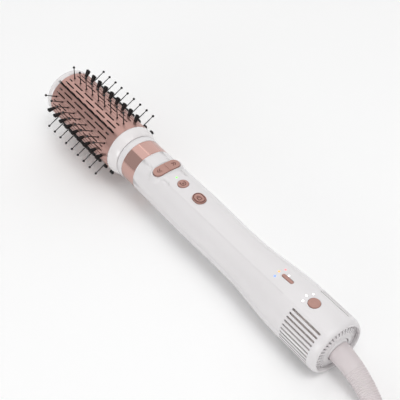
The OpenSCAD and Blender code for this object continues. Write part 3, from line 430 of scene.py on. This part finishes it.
def bezier(points, t):
    """The point at share t of a cubic curve with four control points."""
    a, b, c, d = [Vector(p) for p in points]
    return a * (1 - t) ** 3 + b * 3 * t * (1 - t) ** 2 + c * 3 * t * t * (1 - t) + d * t**3


def tube(name, path, radii, sides):
    """A curve with closed ends that is a tube along points in metres, each with its radius."""
    line = bpy.data.curves.new(name, "CURVE")
    line.dimensions = "3D"
    line.bevel_depth = 1.0
    line.bevel_resolution = (sides - 4) // 2
    line.use_fill_caps = True
    line.twist_mode = "MINIMUM"
    spline = line.splines.new("POLY")
    spline.points.add(len(path) - 1)
    for point, place, radius in zip(spline.points, path, radii):
        point.co = (*place, 1.0)
        point.radius = radius
    return line


def rod(name, path, radii, sides, shape=None):
    """Adds a closed tube along a path to a bmesh, or to a new one."""
    made = put(name, tube(name, path, radii, sides))
    mesh = bpy.data.meshes.new_from_object(made)
    bpy.data.objects.remove(made)
    shape = shape or bmesh.new()
    shape.from_mesh(mesh)
    return shape


SKINS = {
    name: BVHTree.FromPolygons(
        [v.co for v in nodes[name].data.vertices],
        [p.vertices for p in nodes[name].data.polygons],
    )
    for name in (*SHELLS, "speed_lamps")
}


def shell_skin(names, begin, way):
    """The point in the axis frame where a line in it meets the outermost of some CAD nodes."""
    aim = (LAID.to_3x3() @ Vector(way)).normalized()
    hits = [SKINS[name].ray_cast(LAID @ Vector(begin), aim) for name in names]
    # A hit is its place, normal, face and distance
    found = min((hit for hit in hits if hit[0]), key=lambda hit: hit[3])
    return LAID.inverted() @ found[0]


# Mains lead: guard, free stretch, coil and tail, by the route that the CAD solids follow
CORD_D = 7.0
SWIVEL_AT = 233.5
GUARD_DROOP = math.radians(7)
GUARD_ROOT = 9.5
# Lengths of its curve's control arms at the root and at the end
GUARD_ROOT_PULL = 24
GUARD_END_PULL = 20
guard_way = Vector((-math.cos(GUARD_DROOP), 0, -math.sin(GUARD_DROOP)))


def on_swivel(distance):
    """The place in metres at a distance behind the swivel's centre, along the guard's way."""
    return LAID @ (Vector((-SWIVEL_AT, 0, 0)) + guard_way * distance)


guard_end = Vector((-247.5, 9, 8))
guard_end_way = Vector((-9, 3.6, -1.6)).normalized()
guard_curve = [
    on_swivel(GUARD_ROOT) / MM,
    on_swivel(GUARD_ROOT + GUARD_ROOT_PULL) / MM,
    guard_end - GUARD_END_PULL * guard_end_way,
    guard_end,
]
# Radii at the root, where the ribs begin and at the end
GUARD_ROOT_R = 9.4
GUARD_RIBS_R = 8.5
GUARD_END_R = 7
GUARD_RIBS = 19
# Shares of the curve: the plain stretch, the land before the first groove and the end of the last rib
GUARD_PLAIN = 0.28
GUARD_LAND = 0.015
GUARD_LAST = 0.97
# Rings as (share of the curve, radius) for the rounded heel and end, and as (share of the pitch, depth)
# for one groove and its rib
HEEL_RINGS = ((0.0, 8.8), (0.006, 9.25))
GROOVE_RINGS = ((0.0, 0.2), (0.12, 0.35), (0.32, 0.35), (0.45, 0.08), (0.58, 0.0), (0.85, 0.0))
END_RINGS = ((0.99, 6.8), (1.0, 6.3))
LAST_FULL_RING = 0.975
PLAIN_RINGS = 12
GUARD_SIDES = 40
GUARD_ANGLE = 50


def guard_skin(t):
    """Radius of the guard without its grooves at a share of its curve."""
    if t < GUARD_PLAIN:
        return GUARD_ROOT_R + (GUARD_RIBS_R - GUARD_ROOT_R) * math.sin(math.pi / 2 * t / GUARD_PLAIN)
    return GUARD_RIBS_R + (GUARD_END_R - GUARD_RIBS_R) * (t - GUARD_PLAIN) / (1 - GUARD_PLAIN)


def guard_rings():
    """Shares of the guard's curve with the radii there, with a rounded groove and a rib by turns."""
    rings = list(HEEL_RINGS)
    shares = [GUARD_PLAIN * i / PLAIN_RINGS for i in range(1, PLAIN_RINGS + 1)]
    rings += [(share, guard_skin(share)) for share in shares]
    pitch = (GUARD_LAST - GUARD_PLAIN - GUARD_LAND) / GUARD_RIBS
    for k in range(GUARD_RIBS):
        at = GUARD_PLAIN + GUARD_LAND + pitch * k
        rings += [(at + pitch * share, guard_skin(at) - depth) for share, depth in GROOVE_RINGS]
    rings.append((LAST_FULL_RING, guard_skin(LAST_FULL_RING)))
    return rings + list(END_RINGS)


# The guard's neck in the swivel: distance behind its centre and radius
NECK_RINGS = ((-10, 5.5), (-8.3, 5.5), (-8.2, 4.2), (GUARD_ROOT - 0.1, 4.2), (GUARD_ROOT - 0.05, 8.6))
rings = guard_rings()
guard_path = [on_swivel(distance) for distance, radius in NECK_RINGS]
guard_path += [bezier(guard_curve, share) * MM for share, radius in rings]
guard_radii = [radius * MM for place, radius in (*NECK_RINGS, *rings)]
guard_shape = rod("guard_line", guard_path, guard_radii, GUARD_SIDES)
guard = piece(
    "ribbed_guard",
    guard_shape,
    soft_pvc,
    "handle",
    ["cord_guard"],
    GUARD_ANGLE,
    axis_frame=False,
)

# The coil: a spiral inwards on the table, a climb in its middle and a spiral outwards on top, in degrees
COIL_CENTRE = (-320, -20.7)
COIL_LIFT = 0.7
COIL_IN_R = 28
COIL_STEP = 7.7
COIL_TOTAL = 2250
COIL_SOFT = 40
COIL_CLIMB = 180
COIL_FACET = 7.5


def coil_point(a):
    """The cord's middle line after a degrees of the coil."""
    r = COIL_IN_R + COIL_STEP * (math.hypot(a - COIL_TOTAL / 2, COIL_SOFT) - COIL_SOFT) / 360
    climb = min(1, max(0, (a - COIL_TOTAL / 2 + COIL_CLIMB / 2) / COIL_CLIMB))
    z = COIL_LIFT + CORD_D / 2 + COIL_STEP * (1 - math.cos(math.pi * climb)) / 2
    turn = math.radians(a)
    return Vector((COIL_CENTRE[0] - r * math.sin(turn), COIL_CENTRE[1] + r * math.cos(turn), z))


def smooth(points, steps):
    """Catmull-Rom points through the given ones."""
    out = []
    last = len(points) - 1
    for i in range(last):
        a, b, c, d = [Vector(points[min(max(j, 0), last)]) for j in range(i - 1, i + 3)]
        for k in range(steps):
            t = k / steps
            place = b * 2 + (c - a) * t
            place += (a * 2 - b * 5 + c * 4 - d) * t * t
            place += (b * 3 - a - c * 3 + d) * t**3
            out.append(place / 2)
    return out


coil_start = coil_point(0) + Vector((CORD_D, 0, 0))
coil_end = coil_point(COIL_TOTAL) - Vector((0, CORD_D, 0))
COIL_TOP = COIL_LIFT + COIL_STEP + CORD_D
PLUG_HALF_H = 13
# The plug's cord end, from the middle of the coil, and its gap over the coil
PLUG_OFF = (33, -7)
PLUG_GAP = 0.1
plug_at = Vector(
    (
        COIL_CENTRE[0] + PLUG_OFF[0],
        COIL_CENTRE[1] + PLUG_OFF[1],
        COIL_TOP + PLUG_GAP + PLUG_HALF_H,
    )
)
lead_points = [
    guard_end,
    guard_end + CORD_D * guard_end_way,
    (-266, 17.5, 5),
    (-279.5, 24.5, 4.2),
    (-293, 29, 4.2),
    coil_start + Vector((CORD_D, 0, 0)),
    coil_start,
]
# From the middle of the coil: the tail climbs onto the coil and turns into the plug that lies on it
TAIL_STEPS = (
    (-49, -23.5, 12),
    (-43.5, -33, 12),
    (-33.5, -42.5, 12),
    (-16, -52, 13),
    (6, -53, 18.5),
    (23.5, -42.5, 24),
    (31.5, -27.5, 27.5),
)
tail_points = [coil_end, coil_end - Vector((0, CORD_D, 0))]
tail_points += [(COIL_CENTRE[0] + x, COIL_CENTRE[1] + y, z) for x, y, z in TAIL_STEPS]
tail_points += [plug_at - Vector((0, CORD_D, 0)), plug_at]
# Steps from one point to the next, and sides of the cord
LEAD_CUTS = 4
TAIL_CUTS = 3
CORD_SIDES = 16
route = smooth(lead_points, LEAD_CUTS) + [coil_start]
route += [coil_point(COIL_FACET * i) for i in range(int(COIL_TOTAL / COIL_FACET) + 1)]
route += smooth(tail_points, TAIL_CUTS) + [plug_at]
cord_curve = tube("mains_lead", [p * MM for p in route], [1.0] * len(route), CORD_SIDES)
cord_curve.bevel_depth = CORD_D / 2 * MM
cord_curve.materials.append(soft_pvc)
lead = put("mains_lead", cord_curve)
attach(lead, "handle")
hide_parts("cord_lead", "cord_coil", "cord_tail")


# Engraving on the keys, and a ring of painted shade on the oval key, drawn as dark inlaid lines half sunk in
# the surface, in steps of about MARK_STEP
MARK_STEP = 0.4
MARK_SIDES = 8


def mark(name, strokes, surface, centre, body, width=0.55):
    """Strokes are (along, across) points from the key's centre; surface gives the height at a place."""
    whole = bmesh.new()
    for number, stroke in enumerate(strokes):
        path = []
        for (u0, v0), (u1, v1) in zip(stroke, stroke[1:]):
            steps = max(2, int(math.hypot(u1 - u0, v1 - v0) / MARK_STEP))
            path += [(u0 + (u1 - u0) * i / steps, v0 + (v1 - v0) * i / steps) for i in range(steps)]
        path.append(stroke[-1])
        placed = [LAID @ Vector((centre + u, v, surface(centre + u, v))) for u, v in path]
        rod(f"{name}_{number}", placed, [width / 2 * MM] * len(placed), MARK_SIDES, whole)
    piece(name, whole, engraving_and_painted_shade, body, axis_frame=False)


def arc(radius, first, last, steps=16, at=(0, 0)):
    """Points on an arc between two angles in degrees."""
    angles = [math.radians(first + (last - first) * i / steps) for i in range(steps + 1)]
    return [(at[0] + radius * math.cos(a), at[1] + radius * math.sin(a)) for a in angles]


# Where the keys lie along the axis, and the heights of their faces over it
ROCKER_X = -22.5
ROUND_X = -47
OVAL_X = -69.7
ROCKER_CROWN = 85
ROCKER_TOP = 22.5
ROUND_TOP = 21.37
OVAL_LOWEST = 21.79
OVAL_RIM = 22.39
OVAL_DISH = 24


def rocker_face(x, y):
    """The rocker's face is crowned across the handle."""
    return ROCKER_TOP - ROCKER_CROWN + math.sqrt(ROCKER_CROWN**2 - y * y)


def round_face(x, y):
    """The round key's face is flat."""
    return ROUND_TOP


def oval_face(x, y):
    """The oval key's face is a shallow dish up to its rim."""
    return min(OVAL_RIM, OVAL_LOWEST + ((x - OVAL_X) ** 2 + y * y) / (2 * OVAL_DISH))


# A chevron's half width, how far from the rocker's middle its feet and its point lie, and the next one's step
CHEVRON_HALF = 1.9
CHEVRON_FEET = 6.0
CHEVRON_POINT = 7.8
CHEVRON_STEP = 1.9


def chevrons(side):
    """Two arrowheads, one behind the other, that point outwards along the rocker."""
    strokes = []
    for step in (0, CHEVRON_STEP):
        feet = side * (CHEVRON_FEET + step)
        point = side * (CHEVRON_POINT + step)
        strokes.append([(CHEVRON_HALF, feet), (0, point), (-CHEVRON_HALF, feet)])
    return strokes


turning_arrow = [arc(2.3, 40, 320), [(2.9, 1.6), (1.75, 1.5), (1.7, 2.7)], arc(0.7, 0, 360)]
# A dark ring just inside the oval key's edge: painted shade that stands for the shaded walls of its dished
# face
OVAL_SHADE_RING_R = 4.1
OVAL_SHADE_RING_OFF = 1.4
oval_shade_ring_line = [
    arc(OVAL_SHADE_RING_R, -90, 90, at=(OVAL_SHADE_RING_OFF, 0))
    + arc(OVAL_SHADE_RING_R, 90, 270, at=(-OVAL_SHADE_RING_OFF, 0))
    + [(OVAL_SHADE_RING_OFF, -OVAL_SHADE_RING_R)]
]
padlock = [
    [(-1.9, -1.6), (-1.9, 1.6), (0.9, 1.6), (0.9, -1.6), (-1.9, -1.6)],
    [(0.9, -1.0)] + arc(1.0, -90, 90, 10, (1.7, 0)) + [(0.9, 1.0)],
]
mark("rocker_arrows_left", chevrons(1), rocker_face, ROCKER_X, "rocker")
mark("rocker_arrows_right", chevrons(-1), rocker_face, ROCKER_X, "rocker")
mark("round_key_mark", turning_arrow, round_face, ROUND_X, "round_key")
# The oval key's dark ring is painted shade; the padlock after it is the key's engraving
mark("oval_key_painted_shade", oval_shade_ring_line, oval_face, OVAL_X, "oval_key", 0.8)
mark("oval_key_mark", padlock, oval_face, OVAL_X, "oval_key")


# A bead in each groove beside the panel and along the parting plane, so that the grooves read as hairlines
PARTING = 87.6
BEAD_R = 0.4
BEAD_SUNK = 0.14
BEAD_SIDES = 12
GROOVE_FROM = -2
GROOVE_TO = -188
BEAD_STEP = 2
# The shells are felt this many degrees to either side of a groove, by lines from this far out
FELT_BESIDE = 1.3
FELT_FROM = 40
beads = bmesh.new()
for angle in (-PARTING, -PANEL_EDGE, PANEL_EDGE, PARTING):
    path = []
    for x in range(GROOVE_FROM, GROOVE_TO, -BEAD_STEP):
        beside = [math.radians(angle + side * FELT_BESIDE) for side in (-1, 1)]
        outwards = [Vector((0, math.sin(a), math.cos(a))) for a in beside]
        reached = [shell_skin(SHELLS, Vector((x, 0, 0)) + FELT_FROM * way, -way) for way in outwards]
        radius = sum(math.hypot(p.y, p.z) for p in reached) / 2 - BEAD_R - BEAD_SUNK
        turn = math.radians(angle)
        path.append(LAID @ Vector((x, radius * math.sin(turn), radius * math.cos(turn))))
    rod("bead", path, [BEAD_R * MM] * len(path), BEAD_SIDES, beads)
piece("groove_beads", beads, satin_shell, "handle", axis_frame=False)

# The foam of the filter reaches past the front ends of the side slots
FOAM_ENDS = (-203, -237)
FOAM_R = 22.7
FOAM_T = 0.5
# Degrees down from the panel's middle where it begins, and how far round it goes
FOAM_FROM = 29
FOAM_OVER = 118
foam = bmesh.new()
for side in (-1, 1):
    turn = Matrix.Rotation(-side * math.radians(FOAM_FROM), 4, "X")
    profile = [foam.verts.new(turn @ Vector((x, 0, FOAM_R))) for x in FOAM_ENDS]
    line = [foam.edges.new(profile)]
    bmesh.ops.spin(
        foam,
        geom=profile + line,
        axis=(-side, 0, 0),
        cent=(0, 0, 0),
        angle=math.radians(FOAM_OVER),
        steps=40,
    )
bmesh.ops.recalc_face_normals(foam, faces=foam.faces[:])
bmesh.ops.solidify(foam, geom=foam.faces[:], thickness=FOAM_T)
bmesh.ops.recalc_face_normals(foam, faces=foam.faces[:])
piece("filter_foam", foam, filter_mesh, "handle")

# Moulded rims round the three speed lamps, laid on the shell or the lamp, whichever is higher
SPEED_LAMPS = ((-203.8, 0), (-205.7, 5.3), (-205.7, -5.3))
RIM_R = 1.1
RIM_LINE_R = 0.17
RIM_SIDES = 8
DOWN = (0, 0, -1)
rims = bmesh.new()
for x, y in SPEED_LAMPS:
    around = arc(RIM_R, 0, 360, at=(x, y))
    ring = [shell_skin(("upper_shell", "speed_lamps"), (u, v, FELT_FROM), DOWN) for u, v in around]
    rod("lamp_rim", [LAID @ p for p in ring], [RIM_LINE_R * MM] * len(ring), RIM_SIDES, rims)
piece("lamp_rims", rims, satin_shell, "handle", axis_frame=False)


# Brush bristles
BRUSH_TURN = -1.5
STRIPS = 6
STRIP_STEP = 360 / STRIPS
ROW_COUNT = 9
ROW_PITCH = 10.5625
FIRST_BRISTLE = 129.8
# Pins: how far from the axis they reach and start, stem radii at foot and tip, and the ball, whose centre
# lies a little short of the reach
PIN_R = 37.8
PIN_FOOT_R = 22.7
STEM = (0.6, 0.36)
BALL_R = 1.2
BALL_SUNK = 0.1
# Tufts: how far from the axis they reach and start, and half sizes along and across the row at foot and tip
TUFT_R = 32.2
TUFT_FOOT_R = 24.4
TUFT_FOOT = (1.05, 0.6)
TUFT_TIP = (2.3, 0.9)
# Strands of a tuft, along the row and across it, their radii at foot and tip, how unevenly they are cut
# and how much the tuft's end is rounded
STRANDS = (9, 4)
STRAND_R = (0.2, 0.17)
UNEVEN_CUT = 0.5
ROUNDED_END = 0.35
# Backing bar in the core and the ridge that fills the barrel's slot: x, half width and radius
BACKING = ((41.1, 131.7), 2.0, (21.5, 23.3))
RIDGE = ((43.1, 131.7), 0.6, (23.2, 24.5))
RIDGE_FRONT = ((131.6, 136.1), 0.6, (23.85, 24.5))


def round_the_axis(angle):
    """A turn by an angle in degrees, which takes the top of the brush to the panel's left."""
    return Matrix.Rotation(-math.radians(angle), 4, "X")


def tuft_turn(k):
    """The turn to tuft strip k, midway between two pin strips."""
    return round_the_axis(BRUSH_TURN + STRIP_STEP * (k - 0.5))


def add_bar(shape, turn, bar, edge=0.2):
    """Adds a bar along the axis with rounded edges."""
    (rear, front), half, (low, high) = bar
    size = Matrix.Diagonal((front - rear, 2 * half, high - low, 1))
    place = Matrix.Translation(((rear + front) / 2, 0, (low + high) / 2))
    made = bmesh.ops.create_cube(shape, size=1, matrix=turn @ place @ size)
    edges = list(dict.fromkeys(edge for corner in made["verts"] for edge in corner.link_edges))
    bmesh.ops.bevel(shape, geom=edges, offset=edge, segments=2, profile=0.5, affect="EDGES", material=-1)


def tuft_strip(k):
    """A nylon strip with its row of tufts, each a flat bundle of fine strands that fans out along the row."""
    shape = bmesh.new()
    turn = tuft_turn(k)
    columns, rows = STRANDS
    for bar in (BACKING, RIDGE, RIDGE_FRONT):
        add_bar(shape, turn, bar)
    for i in range(ROW_COUNT):
        for s in range(columns * rows):
            row, column = divmod(s, columns)
            u = (column + 0.5 * (row % 2)) / (columns - 0.5) * 2 - 1
            v = row / (rows - 1) * 2 - 1
            uneven = ((s * 7 + i * 5) % 11) / 10
            reach = TUFT_R - UNEVEN_CUT * uneven - ROUNDED_END * u * u
            foot = Vector((TUFT_FOOT[0] * u, TUFT_FOOT[1] * v, TUFT_FOOT_R))
            tip = Vector((TUFT_TIP[0] * u, TUFT_TIP[1] * v, reach))
            way = tip - foot
            lean = way.to_track_quat("Z", "Y").to_matrix().to_4x4()
            centre = Matrix.Translation((foot + tip) / 2 + Vector((FIRST_BRISTLE - i * ROW_PITCH, 0, 0)))
            bmesh.ops.create_cone(
                shape,
                cap_ends=True,
                segments=5,
                radius1=STRAND_R[0],
                radius2=STRAND_R[1],
                depth=way.length,
                matrix=turn @ centre @ lean,
            )
    piece(f"tufts_{k}", shape, black_nylon, "brush", [f"tuft_strip_{k}"])


def pin_strip(k):
    """A nylon bar with its row of single pins, each a tapered stem with a ball tip."""
    shape = bmesh.new()
    turn = round_the_axis(BRUSH_TURN + STRIP_STEP * k)
    add_bar(shape, turn, BACKING)
    for i in range(ROW_COUNT):
        x = FIRST_BRISTLE - i * ROW_PITCH
        bmesh.ops.create_cone(
            shape,
            cap_ends=True,
            segments=10,
            radius1=STEM[0],
            radius2=STEM[1],
            depth=PIN_R - PIN_FOOT_R,
            matrix=turn @ Matrix.Translation((x, 0, (PIN_R + PIN_FOOT_R) / 2)),
        )
        bmesh.ops.create_uvsphere(
            shape,
            u_segments=14,
            v_segments=10,
            radius=BALL_R,
            matrix=turn @ Matrix.Translation((x, 0, PIN_R - BALL_SUNK)),
        )
    piece(f"pins_{k}", shape, black_nylon, "brush", [f"pin_strip_{k}"])


# Turned-in edges of the barrel's slots, between which the tufts stand
LIP_OFF = 0.85
LIP = ((43.1, 136.1), 0.3, (24.0, 24.97))
LIP_EDGE = 0.05
lips = bmesh.new()
for k in range(1, STRIPS + 1):
    tuft_strip(k)
    pin_strip(k)
    for side in (-1, 1):
        add_bar(lips, tuft_turn(k) @ Matrix.Translation((0, side * LIP_OFF, 0)), LIP, LIP_EDGE)
piece("slot_lips", lips, rose_tube, "brush")


# Floor: a matt pale sheet. Beyond the reach of the lamps the camera sees it in the backdrop's own white
BACKDROP = "#fbfbfb"
FLOOR_HALF = 6.0
FADE_FROM = 450.0
FADE_TO = 1200.0
floor_made, floor_tree, floor_where = start("pale_floor")
floor_seen_as = add(floor_tree, "ShaderNodeLightPath")
# The camera sees white, and the styler gets a little less light back from it
floor_colour = add(
    floor_tree,
    "ShaderNodeMix",
    {"data_type": "RGBA", 6: linear("#f2f2f2"), 7: linear("#ffffff")},
    {0: (floor_seen_as, "Is Camera Ray")},
)
floor_diffuse = add(floor_tree, "ShaderNodeBsdfDiffuse", links={"Color": (floor_colour, 2)})
floor_reach = add(
    floor_tree,
    "ShaderNodeVectorMath",
    {"operation": "LENGTH"},
    {"Vector": (floor_where, 0)},
)
floor_far = add(
    floor_tree,
    "ShaderNodeMapRange",
    {"interpolation_type": "SMOOTHSTEP", "From Min": FADE_FROM, "From Max": FADE_TO},
    {"Value": (floor_reach, "Value")},
)
floor_share = add(
    floor_tree,
    "ShaderNodeMath",
    {"operation": "MULTIPLY"},
    {0: (floor_far, 0), 1: (floor_seen_as, "Is Camera Ray")},
)
floor_white = add(floor_tree, "ShaderNodeEmission", {"Color": linear(BACKDROP)})
floor_mix = add(
    floor_tree,
    "ShaderNodeMixShader",
    links={0: (floor_share, 0), 1: (floor_diffuse, 0), 2: (floor_white, 0)},
)
end(floor_tree, floor_mix)
floor_shape = bmesh.new()
bmesh.ops.create_grid(floor_shape, x_segments=2, y_segments=2, size=FLOOR_HALF)
floor_mesh = bpy.data.meshes.new("floor")
floor_shape.to_mesh(floor_mesh)
floor_shape.free()
floor_mesh.materials.append(floor_made)
put("floor", floor_mesh)

# Studio: a dim surround that lights the styler, seen by the camera as the backdrop
SURROUND = 0.5
sky = bpy.data.worlds.new("studio")
sky.use_nodes = True
sky_tree = sky.node_tree
sky_tree.nodes.clear()
sky_light = add(sky_tree, "ShaderNodeBackground", {"Color": linear("#ffffff"), "Strength": SURROUND})
sky_seen = add(sky_tree, "ShaderNodeBackground", {"Color": linear(BACKDROP), "Strength": 1.0})
sky_path = add(sky_tree, "ShaderNodeLightPath")
sky_mix = add(
    sky_tree,
    "ShaderNodeMixShader",
    links={0: (sky_path, "Is Camera Ray"), 1: (sky_light, 0), 2: (sky_seen, 0)},
)
add(sky_tree, "ShaderNodeOutputWorld", links={"Surface": (sky_mix, 0)})
bpy.context.scene.world = sky


def soft_box(name, at, aim, size, radiance):
    """A rectangular lamp at a point in metres, turned to another; its radiance is 1 where it looks white."""
    lamp = bpy.data.lights.new(name, "AREA")
    lamp.shape = "RECTANGLE"
    lamp.size, lamp.size_y = size
    lamp.energy = radiance * math.pi * size[0] * size[1]
    way = Vector(aim) - Vector(at)
    made = put(name, lamp)
    made.matrix_world = Matrix.Translation(at) @ way.to_track_quat("-Z", "Y").to_matrix().to_4x4()


# A long box overhead, one above the lead with a small bright lamp in its middle that leaves the glints,
# a tall one beyond the styler and a low one behind the camera on its left
soft_box("top_box", (0.2, 0.0, 1.6), (0.2, 0.0, 0.0), (5.0, 1.2), 0.53)
soft_box("rear_box", (-0.8, 0.1, 1.8), (0.0, 0.0, 0.0), (1.6, 1.6), 0.3)
soft_box("glint_lamp", (-0.8, 0.1, 1.8), (0.0, 0.0, 0.0), (0.6, 0.6), 6.5)
soft_box("side_box", (1.3, -1.61, 1.01), (1.3, 0.0, 0.0), (2.2, 3.4), 0.4)
soft_box("fill_box", (-0.6, 1.9, 0.5), (0.0, 0.0, 0.05), (1.2, 0.8), 2.5)
